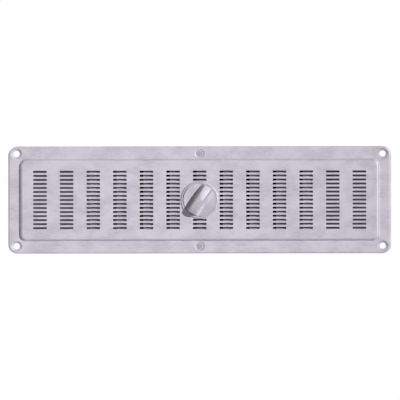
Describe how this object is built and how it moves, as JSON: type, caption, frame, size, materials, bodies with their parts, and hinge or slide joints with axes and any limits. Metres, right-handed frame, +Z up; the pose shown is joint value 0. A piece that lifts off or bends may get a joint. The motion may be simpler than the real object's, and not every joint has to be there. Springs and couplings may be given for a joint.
{
  "type": "door vent grille",
  "caption": "Pressed sheet-metal door vent grille with rows of horizontal slots and a sliding shutter behind, opened and shut by a central turning knob.",
  "frame": {"origin": "middle of the four fixing holes, on the door's face", "axes": "+X along the grille to the right as seen from the front, -Y out of the door towards the viewer, +Z up"},
  "size_m": [0.3174, 0.016, 0.0888],
  "materials": {
    "plate_aluminium": "satin, fine rolled grain",
    "mill_aluminium": "mill",
    "strap_steel": "dark phosphate",
    "rivet_aluminium": "satin",
    "turned_aluminium": "turned, fine concentric lines",
    "steel": "bright zinc plated"
  },
  "bodies": {
    "plate": {"front_plate": "plate_aluminium", "rear_strap": "strap_steel", "strap_rivets": "rivet_aluminium", "spring_washer": "steel"},
    "knob": {"knob": "turned_aluminium", "spindle": "steel", "crank_plate": "steel", "crank_pin": "steel"},
    "shutter": {"shutter_plate": "mill_aluminium"}
  },
  "joints": [
    {"name": "knob_turn", "type": "hinge", "parent": "plate", "child": "knob", "pos_m": [0, -0.0054, 0], "axis": [0, -1, 0], "range_deg": [-57, 33]},
    {"name": "shutter_slide", "type": "slide", "parent": "plate", "child": "shutter", "axis": [-1, 0, 0], "range_m": [-0.00699, 0.00405]}
  ],
  "couplings": [
    {"joint": "shutter_slide", "follows": "knob_turn", "m_per_rad": 0.0070187}
  ]
}
